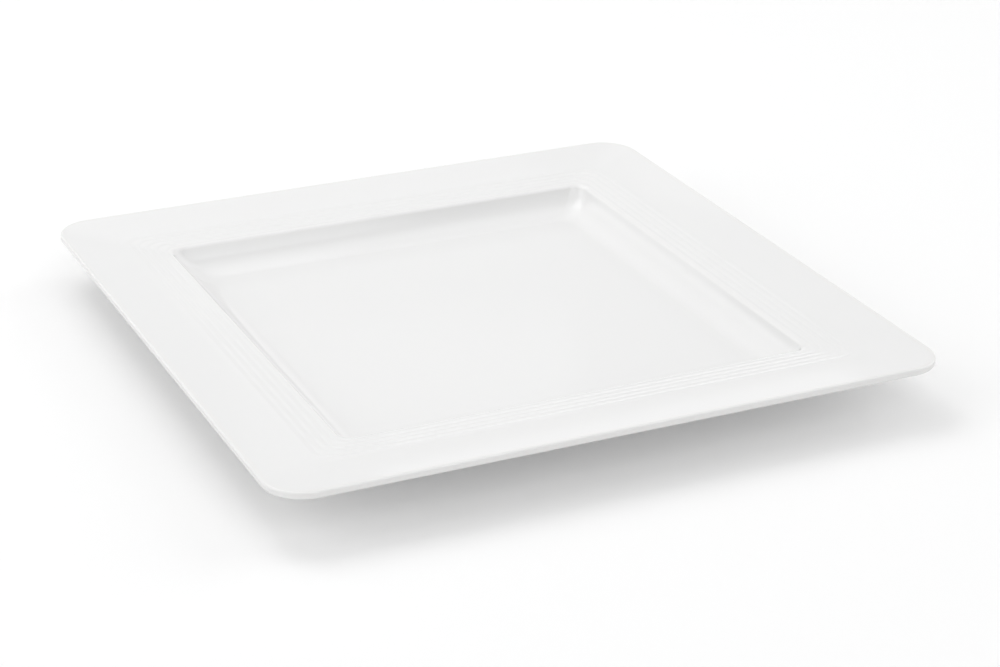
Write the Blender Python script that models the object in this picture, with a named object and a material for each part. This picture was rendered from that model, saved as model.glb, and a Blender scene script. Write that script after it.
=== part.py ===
# Square breakfast plate in white porcelain.
# The fired body is one piece of clay. It is dipped in glaze and its foot ring is wiped bare,
# so the ring parts the glaze into two films: one over the plate and one inside the foot.

import math
from collections import namedtuple

import bmesh
import bpy
import numpy as np

# Driving dimensions, in metres and degrees

# Rim, measured over the glaze
PLATE_WIDTH = 0.210
RIM_CORNER_RADIUS = 0.012
EDGE_THICKNESS = 0.0021
EDGE_ROUND = 0.0006  # above and below the flat of the edge
RIM_RISE = 0.0024  # from the well's lip up to the edge
RIM_SAG = 0.0003  # dip of the rim below a straight slope
RIM_ROOT_THICKNESS = 0.0038  # clay under the outermost step

# Well
WELL_WIDTH = 0.1512  # from lip to lip
WELL_DEPTH = 0.0082
WELL_CORNER_RADIUS = 0.0042  # in plan, at the lip
LIP_RADIUS = 0.0012  # of the lip's section, over the glaze
WALL_ANGLE = 66.0  # of the wall below the lip, from level
COVE_RADIUS = 0.0108  # of the turn from wall to floor, over the glaze
FLOOR_CORNER_RADIUS = 0.006  # in plan
FLOOR_THICKNESS = 0.0041
WALL_THICKNESS = 0.0040
OUTER_TURN = 40.0  # where the wall's outside leaves its arc for the rim, from straight down

# Terraced rings round the well, from the inside outwards
STEP_FALLS = (0.00009, 0.00010, 0.00010, 0.00009, 0.00001)  # the last runs out level into the rim
STEP_START = 0.00044  # level distance from the lip to the first riser
STEP_PITCH = 0.00245
STEP_RUN = 0.0009  # level distance that a riser takes
STEPS_RISE = 0.00067  # from the lip to the foot of the last riser
STEPS_CORNER_RADIUS = 0.006  # in plan, at the last riser

# Foot ring, of bare clay
FOOT_WIDTH = 0.1346  # outside, where it stands
FOOT_BREADTH = 0.0036
FOOT_DEPTH = 0.0032
FOOT_CORNER_RADIUS = 0.012
FOOT_DRAFT = 10.0
FOOT_EDGE_RADIUS = 0.0006
FOOT_FILLET = 0.0014
BARE_HEIGHT = 0.0011  # of the band that is wiped clean

# Glaze
GLAZE_THICKNESS = 0.00025
BOND_GAP = 0.00003  # keeps clay and glaze apart as solids

# Facets along each stretch of the section, and in each corner of the plan
COVE_FACETS = 7
LIP_FACETS = 4
RIM_FACETS = 5
EDGE_FACETS = 4
TURN_FACETS = 5
WALL_FACETS = 3
FILLET_FACETS = 4
FOOT_EDGE_FACETS = 3
CORNER_FACETS = 6
SHARP_ANGLE = 30.0

# Finishes
GLAZE_COLOUR = (0.86, 0.86, 0.86, 1.0)
GLAZE_ROUGHNESS = 0.06
CLAY_COLOUR = (0.78, 0.77, 0.74, 1.0)
CLAY_ROUGHNESS = 0.75

# Sizes of the clay that follow from the driving dimensions
FILM = GLAZE_THICKNESS + BOND_GAP
EDGE_HALF = PLATE_WIDTH / 2 - FILM
EDGE_RADIUS = EDGE_ROUND - FILM
EDGE_CLAY = EDGE_THICKNESS - 2 * FILM
EDGE_CORNER = RIM_CORNER_RADIUS - FILM
CREST_HALF = EDGE_HALF - EDGE_RADIUS
LIP_HALF = WELL_WIDTH / 2
TREAD_RUN = STEP_PITCH - STEP_RUN
STEPS_HALF = LIP_HALF + STEP_START + len(STEP_FALLS) * STEP_PITCH - TREAD_RUN
FOOT_HALF = FOOT_WIDTH / 2
FLOOR_HEIGHT = FOOT_DEPTH + FLOOR_THICKNESS
LIP_HEIGHT = FLOOR_HEIGHT + WELL_DEPTH
STEPS_HEIGHT = LIP_HEIGHT + STEPS_RISE
EDGE_HEIGHT = LIP_HEIGHT + RIM_RISE
TREADS_RUN = STEP_START + (len(STEP_FALLS) - 1) * TREAD_RUN
TREAD_SLOPE = (STEPS_RISE + sum(STEP_FALLS)) / TREADS_RUN
RIM_SLOPE = (EDGE_HEIGHT - STEPS_HEIGHT) / (CREST_HALF - STEPS_HALF)
SAG_SLOPE = 4 * RIM_SAG / (CREST_HALF - STEPS_HALF)

# A point of the section: its distance from the middle, its height, and its unit normal out of the clay
Point = namedtuple("Point", "half height out up")

# A square ring round the plate through such a point, with its corner radius in plan
Ring = namedtuple("Ring", "half height corner out up")


def point_facing(half, height, out, up):
    length = math.hypot(out, up)
    return Point(half, height, out / length, up / length)


# An arc of the section, in degrees: side is 1 where clay fills the arc and -1 where it is hollow
def arc_points(centre, radius, start, end, facets, side):
    points = []
    for angle in np.radians(np.linspace(start, end, facets + 1)):
        out = math.cos(angle)
        up = math.sin(angle)
        points.append(Point(centre[0] + radius * out, centre[1] + radius * up, side * out, side * up))
    return points


# A curve of the underside that leaves one point and reaches another along the given slopes
def turn_points(start, start_slope, end, end_slope, facets):
    drop = start[1] - end[1] - start_slope * start[0] + end_slope * end[0]
    pull_half = drop / (end_slope - start_slope)
    pull_height = start[1] + start_slope * (pull_half - start[0])
    points = []
    for t in np.linspace(0, 1, facets + 1):
        weights = ((1 - t) ** 2, 2 * t * (1 - t), t ** 2)
        half = np.dot(weights, (start[0], pull_half, end[0]))
        height = np.dot(weights, (start[1], pull_height, end[1]))
        run = (1 - t) * (pull_half - start[0]) + t * (end[0] - pull_half)
        rise = (1 - t) * (pull_height - start[1]) + t * (end[1] - pull_height)
        points.append(point_facing(half, height, rise / run, -1))
    return points


# The round of the lip, which ends on the slope of the first terrace
def lip_arc():
    tread = math.atan(TREAD_SLOPE)
    radius = LIP_RADIUS - FILM
    return (LIP_HALF + radius * math.sin(tread), LIP_HEIGHT - radius * math.cos(tread)), radius


# The hollow arc from floor to wall, placed so that the straight wall above it meets the lip's round
def cove_arc():
    wall = math.radians(WALL_ANGLE)
    centre, lip = lip_arc()
    radius = COVE_RADIUS + FILM
    wall_top = centre[1] + lip * math.cos(wall)
    wall_foot = FLOOR_HEIGHT + radius * (1 - math.cos(wall))
    wall_run = (wall_top - wall_foot) / math.tan(wall)
    floor_half = centre[0] - (lip + radius) * math.sin(wall) - wall_run
    return (floor_half, FLOOR_HEIGHT + radius), radius


def well_points():
    centre, radius = cove_arc()
    cove = arc_points(centre, radius, -90, WALL_ANGLE - 90, COVE_FACETS, -1)
    centre, radius = lip_arc()
    tread = math.degrees(math.atan(TREAD_SLOPE))
    return cove + arc_points(centre, radius, 90 + WALL_ANGLE, 90 + tread, LIP_FACETS, 1)


# Each terrace climbs outwards and ends in a small riser that falls towards the edge
def step_points():
    points = []
    half = LIP_HALF + STEP_START
    height = LIP_HEIGHT + TREAD_SLOPE * STEP_START
    for fall in STEP_FALLS:
        points.append(point_facing(half, height, -TREAD_SLOPE, 1))
        half += STEP_RUN
        height -= fall
        points.append(point_facing(half, height, -TREAD_SLOPE, 1))
        half += TREAD_RUN
        height += TREAD_SLOPE * TREAD_RUN
    return points


# The broad slope from the outermost riser to the edge, which dips a little on the way
def rim_points():
    run = CREST_HALF - STEPS_HALF
    points = []
    for t in np.linspace(0, 1, RIM_FACETS + 1)[1:-1]:
        height = STEPS_HEIGHT + RIM_SLOPE * run * t - RIM_SAG * 4 * t * (1 - t)
        slope = RIM_SLOPE - SAG_SLOPE * (1 - 2 * t)
        points.append(point_facing(STEPS_HALF + run * t, height, -slope, 1))
    return points


# Round the edge, under the rim and down the outside of the wall to the band that is left bare
def underside_points():
    root_height = STEPS_HEIGHT - RIM_ROOT_THICKNESS
    under_slope = (EDGE_HEIGHT - EDGE_CLAY - root_height) / (CREST_HALF - STEPS_HALF)
    edge_start = 90 + math.degrees(math.atan(RIM_SLOPE + SAG_SLOPE))
    edge_end = math.degrees(math.atan(under_slope)) - 90
    upper = (CREST_HALF, EDGE_HEIGHT - EDGE_RADIUS)
    lower = (CREST_HALF, EDGE_HEIGHT - EDGE_CLAY + EDGE_RADIUS)
    edge = arc_points(upper, EDGE_RADIUS, edge_start, 0, EDGE_FACETS, 1)
    edge += arc_points(lower, EDGE_RADIUS, 0, edge_end, EDGE_FACETS, 1)

    centre, cove_radius = cove_arc()
    radius = cove_radius + WALL_THICKNESS
    turn = math.radians(OUTER_TURN)
    turn_end = (centre[0] + radius * math.sin(turn), centre[1] - radius * math.cos(turn))
    root = (STEPS_HALF, root_height)
    shoulder = turn_points(root, under_slope, turn_end, math.tan(turn), TURN_FACETS)

    draft = math.radians(FOOT_DRAFT)
    fillet = fillet_between(centre, radius, draft)
    to_fillet = math.degrees(math.atan2(fillet[1] - centre[1], fillet[0] - centre[0]))
    wall = arc_points(centre, radius, OUTER_TURN - 90, to_fillet, WALL_FACETS, 1)
    foot_root = arc_points(fillet, FOOT_FILLET, to_fillet + 180, 180 - FOOT_DRAFT, FILLET_FACETS, -1)
    bare_half = FOOT_HALF + BARE_HEIGHT * math.tan(draft)
    bare = Point(bare_half, BARE_HEIGHT, math.cos(draft), -math.sin(draft))
    return edge + shoulder[:-1] + wall + foot_root[1:] + [bare]


# Centre of the fillet that touches the wall's outside and the drafted outer face of the foot
def fillet_between(centre, radius, draft):
    along = np.array((math.sin(draft), math.cos(draft)))
    outward = np.array((math.cos(draft), -math.sin(draft)))
    start = np.array((FOOT_HALF, 0.0)) + outward * FOOT_FILLET
    offset = start - np.array(centre)
    reach = np.dot(offset, along)
    climb = -reach - math.sqrt(reach ** 2 - np.dot(offset, offset) + (radius + FOOT_FILLET) ** 2)
    return tuple(start + along * climb)


# The bare foot ring: both lower edges rounded, a level face to stand on between them
def foot_points():
    draft = math.radians(FOOT_DRAFT)
    inset = FOOT_EDGE_RADIUS * (1 - math.sin(draft)) / math.cos(draft)
    outer = (FOOT_HALF - inset, FOOT_EDGE_RADIUS)
    inner = (FOOT_HALF - FOOT_BREADTH + inset, FOOT_EDGE_RADIUS)
    points = arc_points(outer, FOOT_EDGE_RADIUS, -FOOT_DRAFT, -90, FOOT_EDGE_FACETS, 1)
    return points + arc_points(inner, FOOT_EDGE_RADIUS, -90, FOOT_DRAFT - 180, FOOT_EDGE_FACETS, 1)


# Up the inside of the foot, from the bare band to the flat of the base
def base_points():
    draft = math.radians(FOOT_DRAFT)
    foot_inside = FOOT_HALF - FOOT_BREADTH
    bare_half = foot_inside - BARE_HEIGHT * math.tan(draft)
    bare = Point(bare_half, BARE_HEIGHT, -math.cos(draft), -math.sin(draft))
    climb = (FOOT_DEPTH - FOOT_FILLET * (1 - math.sin(draft))) / math.cos(draft)
    half = foot_inside - FOOT_FILLET * math.cos(draft) - climb * math.sin(draft)
    fillet = (half, FOOT_DEPTH - FOOT_FILLET)
    return [bare] + arc_points(fillet, FOOT_FILLET, FOOT_DRAFT, 90, FILLET_FACETS, -1)


# Corner radii in plan, which blend from each named ring to the next
def rings_above(points):
    floor_half = cove_arc()[0][0]
    halves = (floor_half, LIP_HALF, STEPS_HALF, CREST_HALF, EDGE_HALF)
    edge_corners = (EDGE_CORNER - EDGE_RADIUS, EDGE_CORNER)
    corners = (FLOOR_CORNER_RADIUS, WELL_CORNER_RADIUS, STEPS_CORNER_RADIUS) + edge_corners
    return rings_through(points, halves, corners)


def rings_below(points):
    halves = (FOOT_HALF - FOOT_CORNER_RADIUS, FOOT_HALF, CREST_HALF, EDGE_HALF)
    corners = (0.0, FOOT_CORNER_RADIUS, EDGE_CORNER - EDGE_RADIUS, EDGE_CORNER)
    return rings_through(points, halves, corners)


def rings_through(points, halves, corners):
    rings = []
    for point in points:
        corner = float(np.interp(point.half, halves, corners))
        rings.append(Ring(point.half, point.height, corner, point.out, point.up))
    return rings


# The same rings on a surface that lies further out of the clay
def raised(rings, distance):
    moved = []
    for ring in rings:
        shift = ring.out * distance
        height = ring.height + ring.up * distance
        moved.append(ring._replace(half=ring.half + shift, corner=ring.corner + shift, height=height))
    return moved


def add_ring(bm, ring):
    reach = ring.half - ring.corner
    verts = []
    for quarter in range(4):
        turn = quarter * math.pi / 2
        side_x = 1 if quarter in (0, 3) else -1
        side_y = 1 if quarter in (0, 1) else -1
        for angle in np.linspace(turn, turn + math.pi / 2, CORNER_FACETS + 1):
            x = side_x * reach + ring.corner * math.cos(angle)
            y = side_y * reach + ring.corner * math.sin(angle)
            verts.append(bm.verts.new((x, y, ring.height)))
    return verts


# A closed solid through the rings in order, with a flat cap on the first and on the last
def lofted_piece(name, rings, material, collection, parent):
    bm = bmesh.new()
    loops = [add_ring(bm, ring) for ring in rings]
    for near, far in zip(loops, loops[1:]):
        for i in range(len(near)):
            bm.faces.new((near[i - 1], near[i], far[i], far[i - 1]))
    bm.faces.new(loops[0])
    bm.faces.new(loops[-1])
    bmesh.ops.recalc_face_normals(bm, faces=bm.faces)
    mesh = bpy.data.meshes.new(name)
    bm.to_mesh(mesh)
    bm.free()
    mesh.shade_smooth()
    mesh.set_sharp_from_angle(angle=math.radians(SHARP_ANGLE))
    mesh.materials.append(material)
    piece = bpy.data.objects.new(name, mesh)
    piece.parent = parent
    collection.objects.link(piece)


def finish(name, colour, roughness):
    material = bpy.data.materials.new(name)
    material.use_nodes = True
    shader = material.node_tree.nodes["Principled BSDF"]
    shader.inputs["Base Color"].default_value = colour
    shader.inputs["Roughness"].default_value = roughness
    shader.inputs["Metallic"].default_value = 0.0
    return material


def build_plate():
    for old in list(bpy.data.objects):
        bpy.data.objects.remove(old, do_unlink=True)
    collection = bpy.data.collections.new("square_breakfast_plate")
    bpy.context.scene.collection.children.link(collection)
    stand = bpy.data.objects.new("plate_stand_point", None)
    collection.objects.link(stand)

    above = rings_above(well_points() + step_points() + rim_points())
    glazed = above + rings_below(underside_points())
    foot = rings_below(foot_points())
    base = rings_below(base_points())

    clay = finish("bare_porcelain", CLAY_COLOUR, CLAY_ROUGHNESS)
    glaze = finish("white_glaze", GLAZE_COLOUR, GLAZE_ROUGHNESS)
    base_film = finish("white_base_glaze", GLAZE_COLOUR, GLAZE_ROUGHNESS)

    lofted_piece("porcelain_body", glazed + foot + base, clay, collection, stand)
    coat = raised(glazed, FILM) + raised(glazed, BOND_GAP)[::-1]
    lofted_piece("glaze_coat", coat, glaze, collection, stand)
    lining = raised(base, FILM)[::-1] + raised(base, BOND_GAP)
    lofted_piece("base_glaze", lining, base_film, collection, stand)


build_plate()
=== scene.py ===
import math

import bmesh
import bpy
import numpy as np
from mathutils import Matrix, Vector


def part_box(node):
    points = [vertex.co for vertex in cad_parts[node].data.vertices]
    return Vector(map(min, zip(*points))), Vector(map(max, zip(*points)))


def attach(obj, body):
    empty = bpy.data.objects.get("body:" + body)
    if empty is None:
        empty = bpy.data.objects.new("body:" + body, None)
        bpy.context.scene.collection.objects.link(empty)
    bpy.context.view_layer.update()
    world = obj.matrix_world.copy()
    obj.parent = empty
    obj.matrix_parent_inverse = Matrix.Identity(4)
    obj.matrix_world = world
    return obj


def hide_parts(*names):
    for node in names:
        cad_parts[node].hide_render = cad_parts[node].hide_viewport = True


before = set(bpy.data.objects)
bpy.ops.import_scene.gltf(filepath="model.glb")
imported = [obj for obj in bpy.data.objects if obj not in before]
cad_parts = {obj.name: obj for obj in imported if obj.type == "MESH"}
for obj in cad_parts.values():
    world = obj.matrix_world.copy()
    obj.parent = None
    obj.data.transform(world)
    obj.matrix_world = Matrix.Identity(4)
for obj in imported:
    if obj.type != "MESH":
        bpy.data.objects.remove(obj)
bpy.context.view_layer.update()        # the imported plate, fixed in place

print("frame loaded:", ", ".join(sorted(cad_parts)))


# A socket that can be written in sums, so 1 - mask or a * b adds its own Math node
class Wire:
    def __init__(self, finish, socket):
        self.finish = finish
        self.socket = socket

    def maths(self, operation, a, b):
        return self.finish.node("ShaderNodeMath", {"operation": operation}, {0: a, 1: b})

    def __add__(self, other):
        return self.maths("ADD", self, other)

    def __radd__(self, other):
        return self.maths("ADD", other, self)

    def __sub__(self, other):
        return self.maths("SUBTRACT", self, other)

    def __rsub__(self, other):
        return self.maths("SUBTRACT", other, self)

    def __mul__(self, other):
        return self.maths("MULTIPLY", self, other)

    def __rmul__(self, other):
        return self.maths("MULTIPLY", other, self)


# The nodes of one material or of the world
class Finish:
    def __init__(self, owner):
        owner.use_nodes = True
        self.tree = owner.node_tree
        self.tree.nodes.clear()

    def node(self, kind, settings=None, inputs=None, output=0):
        made = self.tree.nodes.new(kind)
        for key, value in (settings or {}).items():
            setattr(made, key, value)
        for key, value in (inputs or {}).items():
            if isinstance(value, Wire):
                self.tree.links.new(value.socket, made.inputs[key])
            else:
                made.inputs[key].default_value = value
        return Wire(self, made.outputs[output]) if made.outputs else made

    def noise(self, place, scale, detail=2.0, roughness=0.5):
        return self.node("ShaderNodeTexNoise", {"noise_dimensions": "3D"}, {
            "Vector": place, "Scale": scale, "Detail": detail, "Roughness": roughness})

    def fade(self, value, low, high):
        return self.node("ShaderNodeMapRange", {"interpolation_type": "SMOOTHSTEP", "clamp": True}, {
            "Value": value, "From Min": low, "From Max": high})

    # the Mix node's colour sockets share their names with others, so they go by number
    def blend(self, factor, a, b):
        return self.node("ShaderNodeMix", {"data_type": "RGBA"}, {0: factor, 6: a, 7: b}, 2)


# Section of the bare clay, in metres and degrees
plateForm = {
    "edgeThickness": 0.0021,  # over the glaze
    "edgeRound": 0.0006,  # over the glaze, above and below the flat of the edge
    "rimCorner": 0.012,  # over the glaze, in plan
    "rimRise": 0.00244,  # lip of the well up to the edge
    "rimSag": 0.00012,  # dip of the rim below a straight slope
    "dipShare": 0.8,  # of the rim's shorter half, taken up by the round of that dip
    "rimRoot": 0.0038,  # clay under the last band
    "lipHalf": 0.07556,
    "lipCorner": 0.0042,  # in plan
    "lipRadius": 0.0016,  # over the glaze
    "wellDepth": 0.00816,
    "wallAngle": 66.0,
    "coveRadius": 0.0108,  # over the glaze
    "floorCorner": 0.006,  # in plan
    "floorThickness": 0.0041,
    "wallThickness": 0.0040,
    "outerTurn": 40.0,
    "turnRadius": 0.017,  # under the rim, where it meets the wall
    "stepFalls": (0.00002, 0.00002, 0.00002, 0.00002, 0.0),  # across each of the near-level bands
    "stepStart": 0.00033,  # lip to the first band
    "stepPitch": 0.00245,
    "stepRun": 0.0012,  # breadth of a band
    "runOut": 0.0017,  # the last band, before the rim
    "stepsRise": 0.00077,  # lip to the end of the last band
    "stepsCorner": 0.006,  # in plan, at the last band
    "stepCrest": 0.003,  # rounding where a slope meets the band outside it
    "stepFoot": 0.004,  # hollow where a band meets the slope outside it
    "rimFoot": 0.015,  # hollow where the last band turns up into the rim
}

footForm = {
    "half": 0.0673,
    "breadth": 0.0036,
    "depth": 0.0032,
    "corner": 0.012,  # in plan
    "draft": 10.0,
    "edgeRadius": 0.0006,
    "fillet": 0.0014,
    "bareHeight": 0.0011,  # band wiped clean of glaze
}

glazeForm = {
    "thickness": 0.00025,
    "gap": 0.00003,  # hair of space over the clay
    "bead": 0.00011,  # rounding where the glaze stops
    "wander": 0.00016,  # how far that line strays up and down
    "wanderReach": 0.0015,  # height over the bare band at which the straying has died out
    "wanderWaves": ((3, 0.5, 0.6), (7, 0.3, 2.1), (13, 0.25, 4.0)),  # waves in a round, share, start
    "poolReach": 0.0006,  # how far glaze is drawn towards a hollow
}

meshForm = {
    "cornerSegments": 16,
    "sideSegments": 10,
    "arcStep": 7.0,  # degrees of a fillet to each facet
    "arcLeast": 2,  # facets of the smallest fillet
    "middle": 0.003,  # half-width of the smallest ring
    "samePlace": 1e-7,  # points nearer than this are one
    "nudge": 1e-6,  # step by which the growth of the corners is measured
}

film = glazeForm["thickness"] + glazeForm["gap"]
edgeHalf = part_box("glaze_coat")[1].x - film
edgeRadius = plateForm["edgeRound"] - film
edgeClay = plateForm["edgeThickness"] - 2 * film
floorHeight = footForm["depth"] + plateForm["floorThickness"]
lipHeight = floorHeight + plateForm["wellDepth"]
edgeHeight = lipHeight + plateForm["rimRise"]
crestHalf = edgeHalf - edgeRadius
stepCount = len(plateForm["stepFalls"])
treadRun = plateForm["stepPitch"] - plateForm["stepRun"]
stepsHalf = (plateForm["lipHalf"] + plateForm["stepStart"]
             + (stepCount - 1) * plateForm["stepPitch"] + plateForm["runOut"])
stepsHeight = lipHeight + plateForm["stepsRise"]
treadSlope = (plateForm["stepsRise"] + sum(plateForm["stepFalls"])) / (
    plateForm["stepStart"] + (stepCount - 1) * treadRun)
rimSlope = (edgeHeight - stepsHeight) / (crestHalf - stepsHalf)
sagSlope = 4 * plateForm["rimSag"] / (crestHalf - stepsHalf)
wallAngle = math.radians(plateForm["wallAngle"])
coveRadius = plateForm["coveRadius"] + film
lipRadius = plateForm["lipRadius"] - film
treadAngle = math.atan(treadSlope)
lipReach = lipRadius * math.tan((wallAngle - treadAngle) / 2)
lipStart = plateForm["lipHalf"] - lipReach * math.cos(treadAngle)
lipTop = lipHeight - lipReach * math.sin(treadAngle)
wallFoot = lipStart - (lipTop - floorHeight) / math.tan(wallAngle)
floorHalf = wallFoot - coveRadius * math.tan(wallAngle / 2)
draftSlope = math.tan(math.radians(footForm["draft"]))


# A corner of the section: where it is, its fillet, and whether it lies under the plate
def corner(half, height, radius=0.0, under=False):
    return {"at": np.array((half, height)), "radius": radius, "under": under}


def meet(a, slopeA, b, slopeB):
    half = (b[1] - a[1] + slopeA * a[0] - slopeB * b[0]) / (slopeA - slopeB)
    return half, a[1] + slopeA * (half - a[0])


# Floor, cove, lip and the ringed bands round it
def wellCorners():
    corners = [
        corner(meshForm["middle"], floorHeight),
        corner(wallFoot, floorHeight, coveRadius),
        corner(lipStart, lipTop, lipRadius),
    ]
    half = plateForm["lipHalf"] + plateForm["stepStart"]
    height = lipHeight + treadSlope * plateForm["stepStart"]
    for i, fall in enumerate(plateForm["stepFalls"]):
        corners.append(corner(half, height, plateForm["stepCrest"]))
        half += plateForm["stepRun"] if i < stepCount - 1 else plateForm["runOut"]
        height -= fall
        corners.append(corner(half, height, plateForm["stepFoot"]))
        half += treadRun
        height += treadSlope * treadRun
    corners[-1]["radius"] = plateForm["rimFoot"]
    return corners


# Out along the rim, round its edge, back underneath and down the foot to the bare band
def rimCorners():
    rise = math.atan(rimSlope + sagSlope)
    edgeTop = edgeHeight + edgeRadius * (math.tan(rise) + 1 / math.cos(rise) - 1)
    edgeFoot = edgeHeight - edgeClay
    dip = meet((stepsHalf, stepsHeight), rimSlope - sagSlope, (edgeHalf, edgeTop), math.tan(rise))
    reach = min(dip[0] - stepsHalf, crestHalf - dip[0])
    dipRadius = plateForm["dipShare"] * reach / sagSlope

    rootHeight = stepsHeight - plateForm["rimRoot"]
    underSlope = (edgeFoot - rootHeight) / (edgeHalf - stepsHalf)

    # the outside of the wall turns about the cove's own centre
    outer = coveRadius + plateForm["wallThickness"]
    centreHeight = floorHeight + coveRadius
    high = math.radians(plateForm["outerTurn"])
    low = math.asin((footForm["half"] + footForm["fillet"] - floorHalf) / outer)
    highEnd = (floorHalf + outer * math.sin(high), centreHeight - outer * math.cos(high))
    lowEnd = (floorHalf + outer * math.sin(low), centreHeight - outer * math.cos(low))
    root = meet((edgeHalf, edgeFoot), underSlope, highEnd, math.tan(high))
    wall = meet(highEnd, math.tan(high), lowEnd, math.tan(low))
    foot = meet(lowEnd, math.tan(low), (footForm["half"], 0.0), 1 / draftSlope)
    return [
        corner(dip[0], dip[1], dipRadius),
        corner(edgeHalf, edgeTop, edgeRadius),
        corner(edgeHalf, edgeFoot, edgeRadius, under=True),
        corner(root[0], root[1], plateForm["turnRadius"], under=True),
        corner(wall[0], wall[1], outer, under=True),
        corner(foot[0], foot[1], footForm["fillet"], under=True),
        corner(footForm["half"] + footForm["bareHeight"] * draftSlope, footForm["bareHeight"],
               under=True),
    ]


footInside = footForm["half"] - footForm["breadth"]


def standCorners():
    return [
        corner(footForm["half"], 0.0, footForm["edgeRadius"], under=True),
        corner(footInside, 0.0, footForm["edgeRadius"], under=True),
    ]


# From the bare band inside the foot ring up to the middle of the base
def baseCorners():
    return [
        corner(footInside - footForm["bareHeight"] * draftSlope, footForm["bareHeight"], under=True),
        corner(footInside - footForm["depth"] * draftSlope, footForm["depth"],
               footForm["fillet"], under=True),
        corner(meshForm["middle"], footForm["depth"], under=True),
    ]


def unit(v):
    return v / np.hypot(v[0], v[1])


def leftOf(v):
    return np.array((-v[1], v[0]))


# The same line a distance out of the clay, which lies on its right
def raised(corners, distance):
    moved = []
    runs = [unit(b["at"] - a["at"]) for a, b in zip(corners, corners[1:])]
    for i, c in enumerate(corners):
        behind = runs[max(i - 1, 0)]
        ahead = runs[min(i, len(runs) - 1)]
        hollow = behind[0] * ahead[1] - behind[1] * ahead[0] > 0
        shift = (leftOf(behind) + leftOf(ahead)) / (1 + behind @ ahead)
        radius = c["radius"]
        if radius:
            radius += -distance if hollow else distance
        moved.append({**c, "at": c["at"] + distance * shift, "radius": radius})
    return moved


# A row for every point along a line of corners: half-width, height, direction, bend, under
def roundedLine(corners):
    first = unit(corners[1]["at"] - corners[0]["at"])
    rows = [(*corners[0]["at"], *first, 0.0, corners[0]["under"])]
    for before, c, after in zip(corners, corners[1:], corners[2:]):
        inward = unit(c["at"] - before["at"])
        onward = unit(after["at"] - c["at"])
        turn = math.atan2(inward[0] * onward[1] - inward[1] * onward[0], inward @ onward)
        side = math.copysign(1.0, turn)
        start = c["at"] - inward * c["radius"] * math.tan(abs(turn) / 2)
        centre = start + side * c["radius"] * leftOf(inward)
        facets = max(meshForm["arcLeast"], math.ceil(math.degrees(abs(turn)) / meshForm["arcStep"]))
        for i in range(facets + 1):
            angle = turn * i / facets
            run = math.cos(angle) * inward + math.sin(angle) * leftOf(inward)
            place = centre - side * c["radius"] * leftOf(run)
            moved = np.hypot(place[0] - rows[-1][0], place[1] - rows[-1][1])
            if moved > meshForm["samePlace"]:
                rows.append((*place, *run, side / c["radius"], c["under"]))
    last = unit(corners[-1]["at"] - corners[-2]["at"])
    rows.append((*corners[-1]["at"], *last, 0.0, corners[-1]["under"]))
    return np.array(rows, float)


# Corner radius in plan at each distance from the middle, above and under the plate
def planCorners(halves, under):
    edgeCorner = plateForm["rimCorner"] - film
    innerFoot = footForm["corner"] - footForm["breadth"]
    above = np.interp(
        halves,
        (0.0, floorHalf, plateForm["lipHalf"], stepsHalf, crestHalf, edgeHalf + film),
        (0.0, plateForm["floorCorner"], plateForm["lipCorner"], plateForm["stepsCorner"],
         edgeCorner - edgeRadius, edgeCorner + film))
    below = np.interp(
        halves,
        (0.0, footInside, footForm["half"], crestHalf, edgeHalf + film),
        (0.0, innerFoot, footForm["corner"], edgeCorner - edgeRadius, edgeCorner + film))
    return np.where(under > 0, below, above)


# Once round a rounded square: the way each point faces, and which corner centre it is measured from
def squareRing():
    signs = ((1, 1), (-1, 1), (-1, -1), (1, -1))
    rows = []
    for quarter, here in enumerate(signs):
        there = signs[(quarter + 1) % 4]
        for i in range(meshForm["cornerSegments"] + 1):
            angle = math.pi / 2 * (quarter + i / meshForm["cornerSegments"])
            rows.append((math.cos(angle), math.sin(angle), *here))
        for i in range(1, meshForm["sideSegments"]):
            t = i / meshForm["sideSegments"]
            rows.append((math.cos(angle), math.sin(angle),
                         here[0] + (there[0] - here[0]) * t, here[1] + (there[1] - here[1]) * t))
    return np.array(rows)


# How far glaze has gathered in hollows (above 0) or drawn thin over edges (below 0)
def poolAlong(line):
    step = np.hypot(np.diff(line[:, 0]), np.diff(line[:, 1]))
    travel = np.concatenate([[0.0], np.cumsum(step)])
    span = np.gradient(travel)
    near = np.exp(-((travel[:, None] - travel[None, :]) / glazeForm["poolReach"]) ** 2) * span
    gathered = near @ (line[:, 4] * glazeForm["poolReach"]) / near.sum(axis=1)
    return np.tanh(gathered)


# The glaze line wanders a little above the bare band
def wanderAlong(count):
    turn = np.arange(count) * 2 * math.pi / count
    return sum(
        share * np.sin(waves * turn + start)
        for waves, share, start in glazeForm["wanderWaves"])


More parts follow.
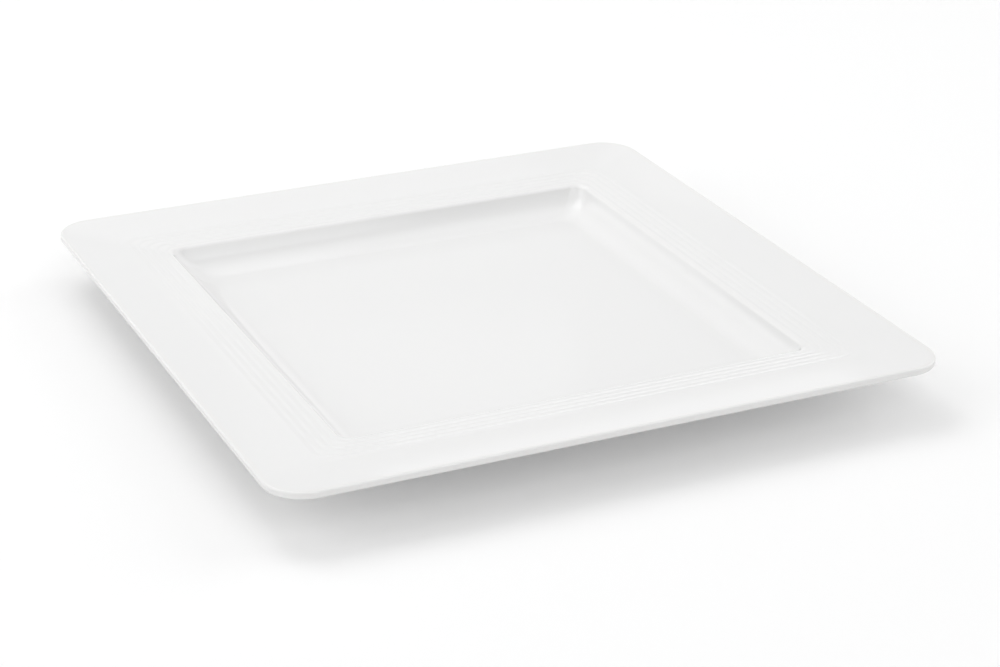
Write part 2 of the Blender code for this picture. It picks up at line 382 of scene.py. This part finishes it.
# A closed skin through square rings, one ring to each row of the line
def skin(name, line, wander=0.0):
    ring = squareRing()
    count = len(ring)
    half, height, runHalf, runHeight = line.T[:4]
    under = line[:, 5]
    plan = planCorners(half, under)
    nudge = meshForm["nudge"]
    growth = planCorners(half + nudge, under) - planCorners(half - nudge, under)
    growth = growth / (2 * nudge) * runHalf
    centre = half - plan
    places = np.empty((len(line), count, 3))
    places[:, :, 0] = centre[:, None] * ring[:, 2] + plan[:, None] * ring[:, 0]
    places[:, :, 1] = centre[:, None] * ring[:, 3] + plan[:, None] * ring[:, 1]
    overBand = (height - footForm["bareHeight"]) / glazeForm["wanderReach"]
    nearBand = under * np.clip(1 - overBand, 0, 1)
    places[:, :, 2] = height[:, None] + wander * nearBand[:, None] * wanderAlong(count)
    normals = np.empty_like(places)
    normals[:, :, 0] = -runHeight[:, None] * ring[:, 0]
    normals[:, :, 1] = -runHeight[:, None] * ring[:, 1]
    spread = np.abs(ring[:, 0]) + np.abs(ring[:, 1])
    normals[:, :, 2] = (runHalf - growth)[:, None] * spread + growth[:, None]

    bm = bmesh.new()
    verts = [[bm.verts.new(p) for p in row] for row in places]
    for near, far in zip(verts, verts[1:]):
        for i in range(count):
            bm.faces.new((near[i], near[i - 1], far[i - 1], far[i]))
    bm.faces.new(verts[0])
    bm.faces.new(verts[-1][::-1])
    mesh = bpy.data.meshes.new(name)
    bm.to_mesh(mesh)
    bm.free()
    pool = mesh.attributes.new("pool", "FLOAT", "POINT")
    pool.data.foreach_set("value", np.repeat(poolAlong(line), count).astype(np.float32))
    mesh.shade_smooth()
    facing = [Vector(n).normalized() for n in normals.reshape(-1, 3)]
    mesh.normals_split_custom_set_from_vertices(facing)
    piece = bpy.data.objects.new(name, mesh)
    bpy.context.scene.collection.objects.link(piece)
    print("made", name, "with", len(mesh.polygons), "faces")
    return piece


# A film of glaze over a line of clay, its open edge rounded into a bead
def glazeFilm(name, corners, openEnd):
    outside = raised(corners, film)
    inside = raised(corners, glazeForm["gap"])
    for side in (outside, inside):
        side[openEnd]["radius"] = glazeForm["bead"]
    corners = inside[::-1] + outside if openEnd == 0 else outside + inside[::-1]
    return skin(name, roundedLine(corners), glazeForm["wander"])


clayCorners = wellCorners() + rimCorners()[:-1] + standCorners() + baseCorners()[1:]
clay = skin("plate_clay", roundedLine(clayCorners))
glaze = glazeFilm("plate_glaze", wellCorners() + rimCorners(), -1)
lining = glazeFilm("base_glaze_lining", baseCorners(), 0)

glazeLook = {
    "white": (0.800, 0.800, 0.798, 1),
    "thick": (0.786, 0.790, 0.792, 1),  # where glaze has gathered
    "thin": (0.796, 0.793, 0.787, 1),  # where the clay shows through a little
    "roughness": 0.09,
    "roughSpread": 0.05,
    "ripple": 0.00004,  # slow waves in the fired surface
    "peel": 0.000004,  # fine pitting
    "ior": 1.5,
    "gathered": 0.7,  # pooling at which the colour has fully changed
    "cloudShare": 0.25,
    "driftShare": 0.12,
    "cloudNoise": (38.0, 3.0),  # scale, detail and roughness of each noise
    "driftNoise": (9.0, 2.0),
    "roughNoise": (120.0, 4.0, 0.6),
    "rippleNoise": (55.0, 1.0),
    "peelNoise": (420.0, 2.0),
}

clayLook = {
    "pale": (0.80, 0.785, 0.75, 1),
    "dark": (0.71, 0.69, 0.65, 1),
    "speck": (0.45, 0.42, 0.38, 1),
    "roughness": 0.78,
    "roughSpread": 0.2,
    "grain": 0.00005,
    "ior": 1.45,
    "grainShare": 0.5,
    "cloudRange": (0.35, 0.75),  # cloud over which pale clay turns dark
    "speckShare": 0.6,
    "speckRange": (0.74, 0.80),
    "grainNoise": (2600.0, 4.0, 0.65),  # scale, detail and roughness of each noise
    "cloudNoise": (90.0, 3.0),
    "speckNoise": (900.0, 1.0),
}


def glazeFinish(name, look):
    material = bpy.data.materials.new(name)
    f = Finish(material)
    place = f.node("ShaderNodeTexCoord", output="Object")
    pool = f.node("ShaderNodeAttribute", {"attribute_name": "pool"}, output="Fac")
    cloud = look["cloudShare"] * (f.noise(place, *look["cloudNoise"]) - 0.5)
    drift = look["driftShare"] * (f.noise(place, *look["driftNoise"]) - 0.5)
    colour = f.blend(f.fade(pool + cloud, 0.0, look["gathered"]), look["white"], look["thick"])
    colour = f.blend(f.fade(drift - pool, 0.0, look["gathered"]), colour, look["thin"])
    rough = look["roughness"] + look["roughSpread"] * (f.noise(place, *look["roughNoise"]) - 0.5)
    ripple = f.node("ShaderNodeBump", None, {
        "Strength": 1.0, "Distance": look["ripple"], "Height": f.noise(place, *look["rippleNoise"])})
    peel = f.node("ShaderNodeBump", None, {
        "Strength": 1.0, "Distance": look["peel"], "Height": f.noise(place, *look["peelNoise"]),
        "Normal": ripple})
    surface = f.node("ShaderNodeBsdfPrincipled", None, {
        "Base Color": colour, "Roughness": rough, "IOR": look["ior"], "Normal": peel})
    f.node("ShaderNodeOutputMaterial", None, {"Surface": surface})
    return material


def clayFinish(name, look):
    material = bpy.data.materials.new(name)
    f = Finish(material)
    place = f.node("ShaderNodeTexCoord", output="Object")
    grain = f.noise(place, *look["grainNoise"])
    cloud = f.noise(place, *look["cloudNoise"]) + look["grainShare"] * (grain - 0.5)
    colour = f.blend(f.fade(cloud, *look["cloudRange"]), look["pale"], look["dark"])
    speck = f.fade(f.noise(place, *look["speckNoise"]), *look["speckRange"])
    colour = f.blend(look["speckShare"] * speck, colour, look["speck"])
    rough = look["roughness"] + look["roughSpread"] * (grain - 0.5)
    bump = f.node("ShaderNodeBump", None, {"Strength": 1.0, "Distance": look["grain"], "Height": grain})
    surface = f.node("ShaderNodeBsdfPrincipled", None, {
        "Base Color": colour, "Roughness": rough, "IOR": look["ior"], "Normal": bump})
    f.node("ShaderNodeOutputMaterial", None, {"Surface": surface})
    return material


glaze.data.materials.append(glazeFinish("white_glaze_finish", glazeLook))
lining.data.materials.append(glazeFinish("base_glaze_finish", glazeLook))
clay.data.materials.append(clayFinish("bare_porcelain_finish", clayLook))
for piece, node, slot in (
        (clay, "porcelain_body", "bare_porcelain"),
        (glaze, "glaze_coat", "white_glaze"),
        (lining, "base_glaze", "white_base_glaze")):
    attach(piece, "root")
    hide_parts(node)
print("pieces dressed and set on the plate")

floorLook = {
    "size": 8.0,
    "sink": 0.00005,  # a hair under the foot ring, so that the two faces don't lie in one plane
    "underFoot": 0.0009,  # the floor ends this far under the foot ring, so light reaches the base
    "colour": (0.95, 0.95, 0.95, 1),
    "glow": 0.13,  # share of plain white in what the camera and reflections see of it
}

skyLook = {
    "level": 0.295,  # as light on the plate and floor; the camera and reflections see it white
    "colour": (1.0, 1.0, 1.0, 1),
}

lampLook = (
    {"name": "key_lamp", "azimuth": 215.0, "elevation": 62.0, "away": 1.3, "size": 0.7, "power": 3.0},
    {"name": "top_lamp", "azimuth": 180.0, "elevation": 62.0, "away": 2.0, "size": 1.4, "power": 4.1},
    {"name": "back_lamp", "azimuth": 190.0, "elevation": 45.0, "away": 2.0, "size": 1.2, "power": 2.6},
    {"name": "low_lamp", "azimuth": 205.0, "elevation": 16.0, "away": 1.3, "size": 0.5, "power": 0.55},
    {"name": "side_lamp", "azimuth": 225.0, "elevation": 28.0, "away": 2.0, "size": 1.2, "power": 1.4},
    {"name": "left_fill", "azimuth": 270.0, "elevation": 30.0, "away": 2.0, "size": 1.6, "power": 13.0},
    {"name": "right_fill", "azimuth": 90.0, "elevation": 30.0, "away": 2.0, "size": 1.6, "power": 11.3},
    {"name": "right_top", "azimuth": 90.0, "elevation": 72.0, "away": 2.0, "size": 1.2, "power": 3.5},
    {"name": "front_fill", "azimuth": 0.0, "elevation": 35.0, "away": 2.5, "size": 2.0, "power": 19.4},
    # mirrored towards the camera, the first by the front rim and the second by the back rim
    {"name": "backdrop_glow", "azimuth": 152.0, "elevation": 9.5, "away": 1.3, "size": 0.4, "power": 0.125},
    {"name": "upper_glow", "azimuth": 162.0, "elevation": 34.0, "away": 1.3, "size": 0.45, "power": 0.10},
)


# 1 for rays of the camera, of reflections and through clear matter, which see plain white
def seenRays(f):
    camera = f.node("ShaderNodeLightPath", output="Is Camera Ray")
    glossy = f.node("ShaderNodeLightPath", output="Is Glossy Ray")
    through = f.node("ShaderNodeLightPath", output="Is Transmission Ray")
    return f.node("ShaderNodeMath", {"operation": "ADD", "use_clamp": True}, {
        0: camera + glossy, 1: through})


def layFloor():
    hatch = footForm["half"] - floorLook["underFoot"]
    rounding = footForm["corner"] - floorLook["underFoot"]
    ring = squareRing()
    count = len(ring)
    places = []
    for grow in (1.0, floorLook["size"] / 2 / hatch):
        for faceX, faceY, signX, signY in ring:
            x = (hatch - rounding) * signX + rounding * faceX
            y = (hatch - rounding) * signY + rounding * faceY
            places.append((x * grow, y * grow, -floorLook["sink"]))
    faces = [(i, count + i, count + (i + 1) % count, (i + 1) % count) for i in range(count)]
    mesh = bpy.data.meshes.new("studio_floor")
    mesh.from_pydata(places, [], faces)
    ground = bpy.data.objects.new("studio_floor", mesh)
    bpy.context.scene.collection.objects.link(ground)
    material = bpy.data.materials.new("studio_floor_paint")
    f = Finish(material)
    paint = f.node("ShaderNodeBsdfDiffuse", None, {"Color": floorLook["colour"]})
    white = f.node("ShaderNodeEmission", None, {"Strength": 1.0})
    share = floorLook["glow"] * seenRays(f)
    surface = f.node("ShaderNodeMixShader", None, {0: share, 1: paint, 2: white})
    below = f.node("ShaderNodeNewGeometry", output="Backfacing")
    clear = f.node("ShaderNodeBsdfTransparent")  # all that is seen of the floor from underneath
    surface = f.node("ShaderNodeMixShader", None, {0: below, 1: surface, 2: clear})
    f.node("ShaderNodeOutputMaterial", None, {"Surface": surface})
    mesh.materials.append(material)


def lightSky():
    world = bpy.data.worlds.new("studio_sky")
    bpy.context.scene.world = world
    f = Finish(world)
    strength = skyLook["level"] + (1.0 - skyLook["level"]) * seenRays(f)
    glow = f.node("ShaderNodeBackground", None, {"Color": skyLook["colour"], "Strength": strength})
    f.node("ShaderNodeOutputWorld", None, {"Surface": glow})


# Soft square lamps aimed at the plate's origin, azimuth 0 in front of it and 90 on its right
def hangLamps():
    for look in lampLook:
        lamp = bpy.data.lights.new(look["name"], "AREA")
        lamp.shape = "SQUARE"
        lamp.size = look["size"]
        lamp.energy = look["power"]
        holder = bpy.data.objects.new(look["name"], lamp)
        spin = Matrix.Rotation(math.radians(look["azimuth"]), 4, "Z")
        tilt = Matrix.Rotation(math.radians(90 - look["elevation"]), 4, "X")
        holder.matrix_world = spin @ tilt @ Matrix.Translation((0, 0, look["away"]))
        bpy.context.scene.collection.objects.link(holder)


cameraLook = {
    "aim": (-0.006898, -0.032500, 0.017870),
    "azimuth": -25.444,
    "elevation": 24.222,
    "roll": 0.690,
    "away": 0.74840,
    "lens": 90.24,
    "sensor": 36.0,
    "nearest": 0.01,
}


def setCamera():
    data = bpy.data.cameras.new("studio_camera")
    data.lens = cameraLook["lens"]
    data.sensor_width = cameraLook["sensor"]
    data.sensor_fit = "HORIZONTAL"
    data.clip_start = cameraLook["nearest"]
    holder = bpy.data.objects.new("studio_camera", data)
    spin = Matrix.Rotation(math.radians(cameraLook["azimuth"]), 4, "Z")
    tilt = Matrix.Rotation(math.radians(90 - cameraLook["elevation"]), 4, "X")
    roll = Matrix.Rotation(math.radians(cameraLook["roll"]), 4, "Z")
    back = Matrix.Translation((0, 0, cameraLook["away"]))
    holder.matrix_world = Matrix.Translation(cameraLook["aim"]) @ spin @ tilt @ roll @ back
    bpy.context.scene.collection.objects.link(holder)
    bpy.context.scene.camera = holder


layFloor()
lightSky()
hangLamps()
setCamera()
bpy.context.scene.view_settings.view_transform = "Standard"
print("floor, light and camera set")
